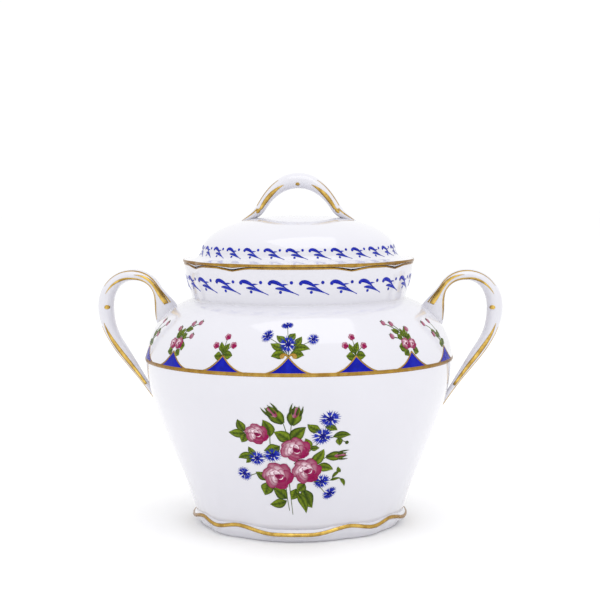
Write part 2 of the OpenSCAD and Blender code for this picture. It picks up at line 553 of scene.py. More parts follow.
def leaf_tint(c, shade=0.0):
    """Light halves, a dark midrib and a dark edge."""

    def tint(t, side):
        rib = 1 - min(abs(side) * 2.5, 1)
        edge = max(abs(side) - 0.6, 0) * 1.6
        root = max(0.35 - t, 0) * 1.6
        half = 0.25 if side > 0 else 0.0
        return mix(c.leaf, c.dark_leaf, max(rib * 0.8, edge) + root + half + shade)

    return tint


def leaf(bm, c, base, tip, width, bend, lift=0.06, shade=0.0):
    """A pointed leaf from base to tip, bent to one side."""
    a, b = Vector(base), Vector(tip)
    run = b - a
    middle = (a + b) / 2 + Vector((-run.y, run.x)) * bend
    brush(bm, curve(a, middle, b), swell(width * 1.22, 0.42), leaf_tint(c, shade), lift, 8, 4)
    for share in (0.25, 0.45, 0.65):
        for side in (-1, 1):
            place, way = curve(a, middle, b)(share)
            out = Vector((-way.y, way.x)) * side
            end = place + way * width * 0.22 + out * swell(width, 0.42)(share + 0.1) * 0.38
            brush(bm, curve(place, end), lambda t: 0.16 * (1 - t) + 0.05,
                  lambda t, s: mix(c.dark_leaf, c.leaf, 0.15), lift + 0.012, 2, 1)


def stem(bm, c, points, width, lift=0.04):
    """A stem along one curve, a little thinner at its tip."""
    brush(bm, curve(*points), lambda t: width * (1 - 0.4 * t),
          lambda t, s: mix(c.dark_leaf, c.leaf, 0.35 + 0.3 * s), lift, 10, 2)


def petal(bm, c, centre, way, reach, breadth, light, lift):
    """One rose petal: deep at the root, pale below a dark lip."""
    across = Vector((-way.y, way.x))
    a = centre + way * reach * 0.1
    b = centre + way * reach * 0.6 + across * breadth * 0.12
    tip = centre + way * reach

    def width(t):
        if t < 0.62:
            return breadth * (0.35 + 0.65 * math.sin(t / 0.62 * math.pi / 2))
        return breadth * math.sqrt(max(1 - ((t - 0.62) / 0.38) ** 2, 0))

    def tint(t, side):
        lip = max(t - 0.9, 0) * 10
        flank = max(abs(side) - 0.7, 0) * 2.6
        pale = math.sin(share_of(t, 0.25, 0.95) * math.pi) * light
        return mix(mix(c.rose, c.pale_rose, pale), c.rose, min(lip + flank, 1))

    brush(bm, curve(a, b, tip), width, tint, lift, 8, 4)


def rose(bm, c, x, y, size, turn, flat=1.0, lift=BLOOM_LIFT):
    """A full rose: rings of petals round a closed heart, lit from the upper left."""
    centre = Vector((x, y))
    brush(bm, curve((x - size * 0.86, y), (x + size * 0.86, y)), rounded(1.72 * size * flat),
          lambda t, s: c.rose, lift, 10, 4)
    rings = ((6, 1.0, 1.02, 0.3), (5, 0.78, 0.86, 0.75), (4, 0.56, 0.66, 1.25), (3, 0.36, 0.46, 0.8))
    for ring, (count, reach, breadth, glow) in enumerate(rings):
        for k in range(count):
            angle = turn + TURN * (k + 0.5 * ring) / count
            way = Vector((math.cos(angle), math.sin(angle) * flat)).normalized()
            lean = 1 - (1 - flat) * abs(math.sin(angle))
            light = glow * (0.55 + 0.55 * math.cos(angle - math.radians(130)))
            petal(bm, c, centre, way, size * reach * lean, size * breadth, light, lift + 0.02 + 0.018 * ring)
    dot(bm, x, y, size * 0.13, lambda t, s: mix(c.rose, (0, 0, 0), 0.35), lift + 0.1)
    for k in range(3):
        angle = turn + TURN * k / 3
        way = Vector((math.cos(angle), math.sin(angle)))
        across = Vector((-way.y, way.x))
        brush(bm, curve(centre + way * size * 0.2, centre + (way + across) * size * 0.3,
                        centre + across * size * 0.34),
              swell(size * 0.07), lambda t, s: c.pale_rose, lift + 0.11, 5, 1)


def small_flower(bm, c, x, y, size, turn):
    """A little pink flower: five round petals and a dark eye."""
    centre = Vector((x, y))
    for k in range(5):
        angle = turn + TURN * k / 5
        way = Vector((math.cos(angle), math.sin(angle)))
        light = 0.2 + 0.25 * math.cos(angle - 2.2)
        petal(bm, c, centre, way, size, size * 0.95, light, PETAL_LIFT + 0.01 * (k % 2))
    dot(bm, x, y, size * 0.22, lambda t, s: c.rose, PETAL_LIFT + 0.03)


def cornflower(bm, c, x, y, size, turn, flat=1.0):
    """A cornflower: trumpets with toothed mouths round a dark eye."""
    frame_of = Matrix.Rotation(turn, 2) @ Matrix(((1, 0), (0, flat)))
    centre = Vector((x, y))

    def spot(angle, reach):
        return centre + frame_of @ Vector((math.cos(angle), math.sin(angle))) * reach * size

    for k in range(8):
        angle = TURN * k / 8 + 0.12 * math.sin(5 * k + turn)
        level = BLOOM_LIFT + 0.012 * (k % 3)
        brush(bm, curve(spot(angle, 0.08), spot(angle, 0.7)), lambda t: size * (0.1 + 0.26 * t * t),
              lambda t, s: mix(c.cobalt, c.pale_blue, 0.15 + 0.35 * t - 0.3 * abs(s)), level, 4, 2)
        for spread in (-0.28, 0.0, 0.28):
            tooth = spot(angle + spread, 1 - 0.6 * spread * spread)
            brush(bm, curve(spot(angle + spread * 0.5, 0.45), tooth), lambda t: size * 0.15 * (1 - t),
                  lambda t, s: mix(c.cobalt, c.pale_blue, 0.2 + 0.4 * s), level + 0.006, 3, 2)
    for k in range(7):
        angle = TURN * (k + 0.5) / 7
        brush(bm, curve(spot(angle, 0.0), spot(angle, 0.38)), swell(size * 0.12, 0.6),
              lambda t, s: mix(c.cobalt, (0.0, 0.0, 0.02), 0.6), BLOOM_LIFT + 0.05, 3, 2)
    dot(bm, x, y, size * 0.12, lambda t, s: mix(c.cobalt, (0.0, 0.0, 0.02), 0.3), BLOOM_LIFT + 0.06)


def bud(green, pink, c, base, tip, fat):
    """A rosebud: a round calyx, a slip of pink and spiky sepals."""
    a, b = Vector(base), Vector(tip)
    run = b - a
    across = Vector((-run.y, run.x))
    brush(green, curve(a, a + run * 0.84), swell(fat * 1.15, 0.42, fat * 0.3, fat * 0.4),
          leaf_tint(c, 0.05), PETAL_LIFT, 8, 4)
    brush(pink, curve(a + run * 0.36, a + run * 0.86), swell(fat * 0.55, 0.4, fat * 0.2),
          lambda t, s: mix(c.rose, c.pale_rose, 0.1 + 0.2 * s), PETAL_LIFT + 0.02, 5, 2)
    for side, reach in ((-1, 0.94), (1, 0.98), (-0.3, 0.92), (0.45, 0.9)):
        root = a + run * 0.45 + across * side * fat / run.length * 0.36
        end = a + run * reach + across * side * 0.2
        brush(green, curve(root, (root + end) / 2 + across * side * 0.05, end), swell(fat * 0.2, 0.3),
              leaf_tint(c), PETAL_LIFT + 0.03, 6, 2)


def scroll(bm, c, length, height):
    """A comma-headed scroll with its shorter follower and two dots."""
    def at(x, y):
        return (x * length, y * height)

    def deep(t, side):
        return mix(c.cobalt, c.pale_blue, 0.15 * side + 0.4 * t)

    def thin(t, side):
        return mix(c.cobalt, c.pale_blue, 0.35 - 0.2 * side)

    comma = curve(at(-0.46, 0.2), at(-0.46, 0.42), at(-0.3, 0.46), at(-0.12, 0.35), at(0.0, 0.1),
                  at(0.14, -0.17), at(0.5, -0.48))
    brush(bm, comma, lambda t: height * (0.05 + 0.2 * math.sin(math.pi * min(t * 1.4, 1)) ** 0.8),
          deep, 0.06, 22, 2)
    dot(bm, *at(-0.43, 0.27), height * 0.12, deep, 0.07)
    brush(bm, curve(at(-0.25, -0.06), at(-0.06, -0.01), at(0.12, -0.16), at(0.34, -0.37)),
          swell(height * 0.2, 0.35, height * 0.08), thin, 0.055, 10, 2)
    brush(bm, curve(at(-0.12, 0.16), at(0.02, 0.2), at(0.17, 0.2)), swell(height * 0.1), thin, 0.052, 6, 2)
    dot(bm, *at(0.27, 0.32), height * 0.11, deep, 0.05)
    dot(bm, *at(-0.09, -0.3), height * 0.1, thin, 0.05)


def peak_half(height, share):
    """Half the width of a blue peak at a share of its height."""
    return height * 1.72 * (1 - share ** 0.46)


def peak_fill(bm, c, height):
    """The blue of one peak, hollow-sided, with a paler streak of thinner enamel."""
    foot, top = 0.35 / height, 0.93
    brush(bm, curve((0, height * foot), (0, height * top)),
          lambda t: 2 * peak_half(height, foot + (top - foot) * t) - 0.2,
          lambda t, s: mix(c.cobalt, c.pale_blue, 0.04 + 0.05 * math.cos(3 * s)), 0.04, 12, 12)


def peak_outline(bm, c, height, curls):
    """The two gold arcs of one peak, and the curls that crown the middle one."""
    for side in (-1, 1):
        def arc_line(t, side=side):
            share = (1 - t) ** 1.6
            place = Vector((side * peak_half(height, share), height * share + 0.15))
            ahead = max(share - 0.01, 0)
            after = Vector((side * peak_half(height, ahead), height * ahead + 0.15))
            return place, (after - place).normalized() if after != place else Vector((side, 0))

        brush(bm, arc_line, lambda t: 0.46, lambda t, s: c.thin_gold_and_glancing_shade, 0.07, 20, 2)
        if curls:
            curl = curve((0, height), (side * 0.6, height + 1.6), (side * 3.4, height + 1.7),
                         (side * 3.1, height - 0.9), (side * 1.1, height - 0.3), (side * 1.7, height + 0.8))
            brush(bm, curl, swell(0.85, 0.6, 0.5, 0.4), lambda t, s: c.thin_gold_and_glancing_shade, 0.09, 22, 2)
            dot(bm, side * 1.75, height + 0.35, 0.55, lambda t, s: c.thin_gold_and_glancing_shade, 0.1)


def sprig_leaves(green, c, base, lean, grow, rows):
    """The leaves of a sprig: each row is a root, a tip, a width and a bend."""
    for root, tip, width, bend in rows:
        leaf(green, c, (root[0] * lean, base + root[1]), (tip[0] * lean, base + tip[1]), width * grow, bend)


def budded_stems(parts, c, base, lean, foot, width, nudge, rows):
    """Stems that lean over, each under a rosebud and a touch of pink: a row is a tip and a knee."""
    green, pink = parts["leaf"], parts["pink"]
    for (x, y), knee in rows:
        stem(green, c, ((0, base + foot), (knee[0] * lean, base + knee[1]), (x * lean, base + y)), width)
        bud(green, pink, c, (x * lean * 0.94, base + y - 0.5), ((x + 0.9) * lean, base + y + 1.5), 0.95)
        dot(pink, (x + nudge) * lean, base + y + 0.3, 0.95,
            lambda t, s: mix(c.rose, c.pale_rose, 0.05 + 0.25 * t), 0.13)


def blue_spray(parts, c, base):
    """The middle sprig: four cornflowers over olive leaves."""
    green, blue = parts["leaf"], parts["blue"]
    for tip in ((-6.6, 6.4), (-0.6, 10.4), (7.2, 5.2)):
        stem(green, c, ((0, base), (tip[0] * 0.2, base + tip[1] * 0.6), (tip[0], base + tip[1])), 0.28)
    sprig_leaves(green, c, base, 1, 1.35, (
        ((-0.6, 0.9), (-5.6, 0.3), 1.9, -0.16), ((0.6, 0.9), (5.0, 0.7), 1.9, 0.16),
        ((-1.2, 3.2), (-6.0, 4.6), 1.6, 0.2), ((1.4, 2.6), (7.0, 2.6), 1.5, 0.25),
        ((1.6, 3.6), (4.4, 7.0), 1.5, -0.1), ((-0.4, 5.6), (-4.2, 7.4), 1.5, 0.25),
        ((-0.2, 6.0), (2.2, 8.2), 1.6, -0.15),
    ))
    cornflower(blue, c, -0.3, base + 4.4, 3.1, 0.3)
    cornflower(blue, c, -7.3, base + 7.2, 2.6, 0.9, 0.75)
    cornflower(blue, c, -0.7, base + 11.2, 2.3, 0.1, 0.6)
    cornflower(blue, c, 8.2, base + 6.0, 2.2, 0.5, 0.9)


def pink_sprig(parts, c, base, lean):
    """The low sprig beside it: three pink flowers on short stems."""
    green, pink = parts["leaf"], parts["pink"]
    for x, y in ((-3.2, 3.3), (0.5, 6.4), (3.3, 3.6)):
        stem(green, c, ((0, base), (x * 0.3 * lean, base + y * 0.6), (x * lean, base + y)), 0.26)
        small_flower(pink, c, x * lean, base + y, 1.15, x)
    sprig_leaves(green, c, base, lean, 1.25, (
        ((-0.3, 0.2), (-3.3, -0.1), 1.9, 0.12), ((0.3, 0.2), (3.4, 0.2), 1.9, 0.12),
        ((0, 1), (-1.4, 4.6), 1.4, 0.12), ((0.2, 1), (1.9, 4.2), 1.2, 0.12),
        ((0, 0.6), (0.2, 3.2), 1.1, 0.12),
    ))


def rose_sprig(parts, c, base, lean):
    """The tall sprig: two roses at its foot and budded stems that lean over."""
    pink = parts["pink"]
    budded_stems(parts, c, base, lean, 2, 0.5, 0.2, (
        ((7.6, 10.6), (2.4, 8.6)), ((4.2, 10.0), (0.6, 6.8)), ((6.4, 5.4), (2.4, 5.0)),
        ((-1.8, 7.6), (0.2, 5.2)),
    ))
    sprig_leaves(parts["leaf"], c, base, lean, 1.35, (
        ((-1.0, 0.6), (-3.6, -0.4), 1.7, 0.1), ((1.0, 0.6), (3.2, -0.9), 1.8, -0.1),
        ((2.4, 1.8), (4.9, 2.2), 1.9, 0.1), ((0.2, 4.6), (-1.7, 6.2), 1.4, -0.2),
        ((0.6, 5.0), (1.6, 8.4), 1.2, 0.1), ((2.4, 7.4), (5.8, 8.2), 1.3, 0.2),
        ((2.2, 4.6), (4.0, 6.4), 1.4, 0.1), ((0.2, 4.0), (-0.6, 8.6), 1.1, 0.15),
    ))
    rose(pink, c, -1.45 * lean, base + 2.7, 1.8, 0.4)
    rose(pink, c, 1.55 * lean, base + 2.9, 1.95, 1.1, lift=0.12)


def bud_sprig(parts, c, base, lean):
    """The slim sprig beside the handle."""
    budded_stems(parts, c, base, lean, 0, 0.42, 0, (
        ((8.2, 8.6), (3.0, 6.8)), ((5.0, 4.2), (2.2, 3.6)), ((2.6, 9.2), (0.4, 6.0)),
    ))
    sprig_leaves(parts["leaf"], c, base, lean, 1.25, (
        ((0.2, 0.8), (-2.2, 2.0), 1.5, 0.12), ((0.4, 1.0), (3.2, 1.0), 1.6, 0.12),
        ((1.0, 3.0), (0.2, 5.8), 1.3, 0.12), ((2.4, 4.8), (5.4, 6.2), 1.3, 0.12),
        ((1.2, 3.6), (3.4, 5.2), 1.2, 0.12),
    ))


def bouquet(parts, c):
    """The large bouquet: four roses, cornflowers, buds and leaves tied by their stems."""
    green, pink, blue = parts["leaf"], parts["pink"], parts["blue"]
    stems = (
        ((-0.8, -6), (-0.4, -14), (0.2, -20.4)), ((-2.0, -8), (-1.8, -14), (-1.0, -19)),
        ((0.4, 3), (0.0, 8), (0.6, 13)), ((0.2, 3), (-0.4, 9), (-1.8, 13.6)),
        ((-6, -4), (-11, -4.6), (-14.6, -6.4)), ((6, -6), (10, -10), (12.4, -13)),
        ((3, 1), (7, 4), (9.8, 8)), ((9.8, 8), (11.6, 11), (12.0, 14.5)), ((9, 7), (12, 8.6), (14.4, 8.4)),
        ((14.4, 8.4), (15.6, 6.8), (17.2, 6.4)), ((5, -3), (9, -0.6), (11.4, 1.2)),
        ((-4, 2), (-9, 0.6), (-12.6, 1.2)), ((-6, 5), (-6.0, 7), (-5.8, 9)),
        ((8, -8), (11, -8.4), (13, -7.8)),
    )
    for points in stems:
        stem(green, c, points, 0.34, 0.045)
    leaves = (
        ((-13.4, 10.2), (-15.2, 14.4), 2.5, 0.1), ((-13.4, 9.8), (-18.8, 9.6), 2.6, 0.12),
        ((-13.4, 9.6), (-15.0, 6.2), 2.4, 0.1), ((-5.8, 8.6), (-7.6, 14.6), 3.2, -0.14),
        ((-3.0, 5.4), (-8.2, 3.6), 3.2, 0.16), ((0.2, 6.8), (-4.6, 10.4), 3.4, -0.14),
        ((0.6, 7.0), (4.8, 12.2), 3.4, 0.14), ((9.2, 10.8), (5.2, 13.2), 2.4, 0.18),
        ((10.2, 12.2), (14.0, 10.8), 2.0, 0.16), ((12.8, 8.4), (18.4, 8.8), 2.1, 0.2),
        ((14.4, 8.2), (15.2, 5.2), 1.8, 0.1), ((6.0, 4.2), (4.6, 8.2), 2.1, -0.1),
        ((6.0, 4.2), (9.0, 4.6), 1.7, 0.1),
        ((6.6, -1.8), (10.4, 4.2), 3.0, -0.12), ((8.2, -2.4), (14.0, -3.6), 2.8, 0.12),
        ((-11.6, 1.4), (-17.2, 0.2), 2.2, -0.2), ((-11.2, 1.6), (-13.0, 4.8), 1.8, 0.1),
        ((-12.6, 1.0), (-14.8, -1.4), 1.4, 0.1), ((-8.6, -7.8), (-12.0, -4.6), 2.4, -0.1),
        ((-8.2, -8.2), (-9.9, -13.4), 3.8, 0.1), ((-1.8, -15.2), (-8.4, -16.8), 2.9, 0.12),
        ((-1.8, -14.6), (-6.6, -10.6), 3.6, -0.12), ((1.6, -10.6), (-0.2, -14.8), 3.0, 0.14),
        ((1.4, -12.0), (5.4, -20.0), 2.6, 0.2), ((4.2, -10.6), (7.6, -18.0), 4.2, -0.1),
        ((13.2, -7.8), (17.0, -7.0), 0.9, 0.1), ((16.6, -7.2), (18.8, -10.4), 1.1, 0.3),
        ((14.0, -7.0), (16.8, -4.2), 1.0, 0.25), ((16.8, -4.8), (15.6, -2.6), 1.2, 0.3),
        ((4.6, -8.6), (1.8, -11.6), 3.0, 0.1), ((1.0, -1.2), (6.6, -1.0), 2.2, 0.1),
    )
    for k, (base, tip, width, bend) in enumerate(leaves):
        leaf(green, c, base, tip, width, bend, 0.06 + 0.006 * (k % 4), 0.12 * (k % 3 == 0))
    dot(green, 17.4, 6.2, 0.62, leaf_tint(c), 0.08)
    bud(green, pink, c, (-1.8, 13.4), (-6.8, 19.9), 3.7)
    bud(green, pink, c, (0.8, 12.8), (2.6, 20.2), 3.7)
    bud(green, pink, c, (11.2, 1.2), (18.8, 1.8), 3.0)
    for x, y, size, turn, flat in (
        (11.6, 14.9, 3.3, 0.2, 0.9), (9.6, 8.8, 3.4, 0.6, 0.9), (-5.6, 2.0, 3.1, 0.1, 0.9),
        (-10.8, 0.6, 3.0, 0.4, 0.95), (-16.2, -5.6, 2.7, 0.9, 1.0), (10.4, -8.0, 3.1, 0.3, 0.9),
        (13.6, -12.6, 3.0, 0.7, 0.7),
    ):
        cornflower(blue, c, x, y, size, turn, flat)
    for x, y, size, turn, flat, lift in (
        (-9.8, 9.5, 3.6, 0.4, 1.0, 0.12), (5.2, -3.9, 4.9, 0.9, 0.94, 0.14), (1.6, 4.2, 4.7, 0.1, 0.86, 0.2),
        (-4.4, -5.8, 5.3, 0.6, 0.94, 0.22),
    ):
        rose(pink, c, x, y, size, turn, flat, lift)


# Shader groups and materials


def node_group(name, inputs, outputs):
    """An empty shader group with its named sockets, and its input and output nodes."""
    group = bpy.data.node_groups.new(name, "ShaderNodeTree")
    for label, kind, default in inputs:
        socket = group.interface.new_socket(name=label, in_out="INPUT", socket_type=kind)
        socket.default_value = default
    for label, kind in outputs:
        group.interface.new_socket(name=label, in_out="OUTPUT", socket_type=kind)
    return group, group.nodes.new("NodeGroupInput"), group.nodes.new("NodeGroupOutput")


def noise_node(nodes, scale, detail=3.0):
    node = nodes.new("ShaderNodeTexNoise")
    node.inputs["Scale"].default_value = scale
    node.inputs["Detail"].default_value = detail
    return node


def math_node(nodes, operation):
    node = nodes.new("ShaderNodeMath")
    node.operation = operation
    return node


def mottle_group():
    """Two colours mixed by soft noise, with a finer noise out as a mask."""
    group, source, sink = node_group(
        "mottle",
        (("Color A", "NodeSocketColor", (1, 1, 1, 1)), ("Color B", "NodeSocketColor", (0, 0, 0, 1)),
         ("Scale", "NodeSocketFloat", 60.0), ("Amount", "NodeSocketFloat", 0.5)),
        (("Color", "NodeSocketColor"), ("Mask", "NodeSocketFloat")),
    )
    nodes, links = group.nodes, group.links
    place = nodes.new("ShaderNodeTexCoord")
    broad = noise_node(nodes, 60.0)
    links.new(place.outputs["Object"], broad.inputs["Vector"])
    links.new(source.outputs["Scale"], broad.inputs["Scale"])
    ramp = nodes.new("ShaderNodeMapRange")
    ramp.inputs["From Min"].default_value = 0.35
    ramp.inputs["From Max"].default_value = 0.68
    links.new(broad.outputs["Fac"], ramp.inputs["Value"])
    share = math_node(nodes, "MULTIPLY")
    links.new(ramp.outputs["Result"], share.inputs[0])
    links.new(source.outputs["Amount"], share.inputs[1])
    blend = nodes.new("ShaderNodeMix")
    blend.data_type = "RGBA"
    links.new(share.outputs["Value"], blend.inputs["Factor"])
    links.new(source.outputs["Color A"], blend.inputs["A"])
    links.new(source.outputs["Color B"], blend.inputs["B"])
    links.new(blend.outputs["Result"], sink.inputs["Color"])
    links.new(ramp.outputs["Result"], sink.inputs["Mask"])


def ripple_group():
    """The slow ripple and fine orange peel of a fired surface, as a height."""
    group, source, sink = node_group(
        "fired_ripple",
        (("Slow scale", "NodeSocketFloat", 90.0), ("Fine scale", "NodeSocketFloat", 900.0),
         ("Fine share", "NodeSocketFloat", 0.2)),
        (("Height", "NodeSocketFloat"),),
    )
    nodes, links = group.nodes, group.links
    place = nodes.new("ShaderNodeTexCoord")
    slow, fine = noise_node(nodes, 90.0, 2.0), noise_node(nodes, 900.0, 2.0)
    for node, socket in ((slow, "Slow scale"), (fine, "Fine scale")):
        links.new(place.outputs["Object"], node.inputs["Vector"])
        links.new(source.outputs[socket], node.inputs["Scale"])
    part = math_node(nodes, "MULTIPLY")
    links.new(fine.outputs["Fac"], part.inputs[0])
    links.new(source.outputs["Fine share"], part.inputs[1])
    total = math_node(nodes, "ADD")
    links.new(slow.outputs["Fac"], total.inputs[0])
    links.new(part.outputs["Value"], total.inputs[1])
    links.new(total.outputs["Value"], sink.inputs["Height"])


class Finish:
    """A material being built: its shader, its nodes and its links."""

    def __init__(self, name):
        material = bpy.data.materials.new(name)
        material.use_nodes = True
        self.nodes = material.node_tree.nodes
        self.links = material.node_tree.links
        self.shader = self.nodes["Principled BSDF"]

    def set(self, **values):
        for label, value in values.items():
            self.shader.inputs[label.replace("_", " ")].default_value = value

    def group(self, name, **values):
        node = self.nodes.new("ShaderNodeGroup")
        node.node_tree = bpy.data.node_groups[name]
        for label, value in values.items():
            node.inputs[label.replace("_", " ")].default_value = value
        return node

    def mottled(self, first, second, scale, amount=1.0):
        """The mottle group, set to two colours."""
        return self.group("mottle", Color_A=first, Color_B=second, Scale=scale, Amount=amount)

    def bump(self, strength, distance, **values):
        ripple = self.group("fired_ripple", **values)
        bump = self.nodes.new("ShaderNodeBump")
        bump.inputs["Strength"].default_value = strength
        bump.inputs["Distance"].default_value = distance
        self.links.new(ripple.outputs["Height"], bump.inputs["Height"])
        self.links.new(bump.outputs["Normal"], self.shader.inputs["Normal"])

    def spread(self, mask, label, low_value, high_value):
        """Drives one socket of the shader by a mask, between two values."""
        span = self.nodes.new("ShaderNodeMapRange")
        span.inputs["To Min"].default_value = low_value
        span.inputs["To Max"].default_value = high_value
        self.links.new(mask, span.inputs["Value"])
        self.links.new(span.outputs["Result"], self.shader.inputs[label])


def rgba(colour, factor=1.0):
    """A colour with full cover, brightened or dimmed by the factor."""
    return (*(min(x * factor, 1) for x in colour), 1)


def porcelain_finish(c):
    """White hard-paste porcelain under a clear glaze, a touch greyer where the glaze lies thin."""
    finish = Finish("glazed_porcelain")
    tone = finish.mottled(rgba(c.porcelain), rgba(c.porcelain, 0.975), 35.0)
    finish.links.new(tone.outputs["Color"], finish.shader.inputs["Base Color"])
    finish.spread(tone.outputs["Mask"], "Roughness", 0.07, 0.13)
    finish.set(IOR=1.52, Coat_Weight=0.5, Coat_Roughness=0.03, Coat_IOR=1.5)
    finish.bump(0.25, 0.00012, Slow_scale=85.0, Fine_scale=1400.0, Fine_share=0.06)


def gold_finish(c, name, worn):
    """Burnished gold, browner and rougher where the brush laid it thin, and browned towards glancing angles
    by painted shade.
    """
    finish = Finish(name)
    tone = finish.mottled(rgba(mix(c.gold, c.thin_gold_and_glancing_shade, worn)), rgba(c.thin_gold_and_glancing_shade), 420.0, 0.6)
    # Painted shade: the base colour browns towards glancing angles, standing in for the dark surroundings
    # that burnished gold reflects at its edges.
    facing = finish.nodes.new("ShaderNodeLayerWeight")
    facing.inputs["Blend"].default_value = 0.62
    blend = finish.nodes.new("ShaderNodeMix")
    blend.data_type = "RGBA"
    blend.inputs["B"].default_value = rgba(c.thin_gold_and_glancing_shade)
    finish.links.new(facing.outputs["Facing"], blend.inputs["Factor"])
    finish.links.new(tone.outputs["Color"], blend.inputs["A"])
    finish.links.new(blend.outputs["Result"], finish.shader.inputs["Base Color"])
    finish.spread(tone.outputs["Mask"], "Roughness", 0.18, 0.34)
    finish.set(Metallic=1.0)
    finish.bump(0.3, 0.00005, Slow_scale=500.0, Fine_scale=3000.0, Fine_share=0.4)


def enamel_finish(name, scale, streak):
    """Enamel colours: each stroke's own tint, streaked by the brush under a soft gloss."""
    finish = Finish(name)
    paint = finish.nodes.new("ShaderNodeAttribute")
    paint.attribute_name = "paint"
    tone = finish.mottled((1, 1, 1, 1), (streak, streak, streak, 1), scale)
    blend = finish.nodes.new("ShaderNodeMix")
    blend.data_type = "RGBA"
    blend.blend_type = "MULTIPLY"
    blend.inputs["Factor"].default_value = 1.0
    finish.links.new(paint.outputs["Color"], blend.inputs["A"])
    finish.links.new(tone.outputs["Color"], blend.inputs["B"])
    finish.links.new(blend.outputs["Result"], finish.shader.inputs["Base Color"])
    finish.spread(tone.outputs["Mask"], "Roughness", 0.16, 0.28)
    finish.set(IOR=1.5, Specular_IOR_Level=0.12)
    finish.bump(0.2, 0.00004, Slow_scale=700.0, Fine_scale=2600.0, Fine_share=0.5)


def floor_finish():
    """Plain pale paper with a very soft grain."""
    finish = Finish("pale_floor")
    tone = finish.mottled((1, 1, 1, 1), (0.99, 0.99, 0.99, 1), 8.0)
    finish.links.new(tone.outputs["Color"], finish.shader.inputs["Base Color"])
    finish.spread(tone.outputs["Mask"], "Roughness", 0.8, 0.9)


# Rules that give the round pieces their lobes


def body_move(sizes):
    """Lobes of the bowl: faint above the foot, full and dipping at the rim."""
    notch, dip = sizes.notch / MM, sizes.rim_dip / MM

    def move(angle, r, z):
        near_foot = max(0.0, 1 - (z - FOOT_H) / 11) ** 2 * (r > FOOT_R * 0.85)
        near_rim = share_of(z, FLARE_Z, RIM_Z) ** 2
        r -= notch * notch_share(angle) * (0.45 * near_foot + near_rim)
        z -= dip * notch_vee(angle) ** 1.2 * near_rim
        return r, z

    return move


def foot_move(sizes):
    """Lobes of the foot: the edge tucks in and rises at each notch."""
    notch, rise = sizes.notch / MM, sizes.foot_rise / MM

    def move(angle, r, z):
        edge = share_of(r, 33, FOOT_R)
        r -= notch * notch_share(angle) * (0.9 - 0.45 * edge) * (r > 32)
        lifted = share_of(z, 0, 2.2)
        z += rise * lifted_share(angle) * edge * lifted
        return r, z

    return move


def lid_move(sizes):
    """Lobes of the lid's edge, whose white lower lip follows the dips of the rim."""
    notch, dip = sizes.notch / MM, sizes.rim_dip / MM

    def move(angle, r, z):
        edge = share_of(r, SKIRT_R - 1, LID_R)
        r -= notch * notch_share(angle) * edge
        lip = share_of(LID_Z + 0.04 - z, 0, 0.04) * (r > COLLAR_R + 0.5)
        z -= 0.75 * dip * notch_vee(angle) ** 1.2 * lip
        return r, z

    return move


def band_outline(wall, middle, width, proud):
    """The closed section of a gold band that lies on a wall."""
    crown = [(x / 10, proud * (1 - (x / 5) ** 2) + 0.02) for x in range(-4, 5, 2)]
    face = [(-0.5, -0.12), (-0.5, 0.02)] + crown + [(0.5, 0.02), (0.5, -0.12)]
    points = []
    for share, lift in face:
        place, out = wall.at(middle + share * width)
        points.append(place + out * lift)
    return points


class SUGAR_OT_bowl(bpy.types.Operator):
    """Turn the bowl's porcelain shell from its outline and lobe its rim"""

    bl_idname = "sugar.bowl"
    bl_label = "Bowl"

    def execute(self, context):
        sizes = context.scene.sugar_sizes
        wall = sizes.wall / MM
        outside = LOWER_WALL + SHOULDER[1:] + NECK_SIDE[1:]
        lip_inside = arc((RIM_R - wall + INNER_LIP_R, RIM_Z - INNER_LIP_R), INNER_LIP_R, 90, 180, 6)
        inside = inward(LOWER_WALL + SHOULDER[1:] + NECK[1:], wall)
        inside = [p for p in inside if FOOT_H + wall + 2 < p.y < RIM_Z - 1.2]
        corner_at = (inside[0].x - FLOOR_CORNER_R, FOOT_H + wall + FLOOR_CORNER_R)
        corner = arc(corner_at, FLOOR_CORNER_R, 0, -90, 6)
        outline = [Vector((0, FOOT_H + 0.1)), Vector((WAIST_R - 0.5, FOOT_H + 0.1))] + outside
        outline += LIP_OUTSIDE + lip_inside + inside[::-1] + corner + [Vector((0, FOOT_H + wall))]
        bm = bmesh.new()
        turned(bm, outline, False)
        shaped(bm, body_move(sizes))
        in_porcelain(bm, "bowl_shell", "bowl", "bowl_body")
        return {"FINISHED"}


class SUGAR_OT_foot(bpy.types.Operator):
    """Turn the foot ring and lobe its edge"""

    bl_idname = "sugar.foot"
    bl_label = "Foot ring"

    def execute(self, context):
        bm = bmesh.new()
        turned(bm, FOOT_OUTLINE, True)
        shaped(bm, foot_move(context.scene.sugar_sizes))
        in_porcelain(bm, "foot", "bowl", "foot_ring")
        return {"FINISHED"}


class SUGAR_OT_side_handles(bpy.types.Operator):
    """Sweep the two side handles"""

    bl_idname = "sugar.side_handles"
    bl_label = "Side handles"

    def execute(self, context):
        strap = side_strap(context.scene.sugar_sizes)
        for name, side in (("right", 1), ("left", -1)):
            bm = bmesh.new()
            strap.swept(bm)
            bmesh.ops.scale(bm, vec=(side, 1, 1), verts=bm.verts)
            bmesh.ops.recalc_face_normals(bm, faces=bm.faces)
            softened(in_porcelain(bm, "side_handle_" + name, "bowl", "handle_" + name), 4)
        return {"FINISHED"}


def softened(piece, passes):
    """Rebuilds a piece as one even skin and softens its edges, as glaze does."""
    skin = piece.modifiers.new("one skin", "REMESH")
    skin.mode = "VOXEL"
    skin.voxel_size = SKIN_GRAIN
    soft = piece.modifiers.new("soft edges", "SMOOTH")
    soft.factor = 0.5
    soft.iterations = passes
    settled(piece)


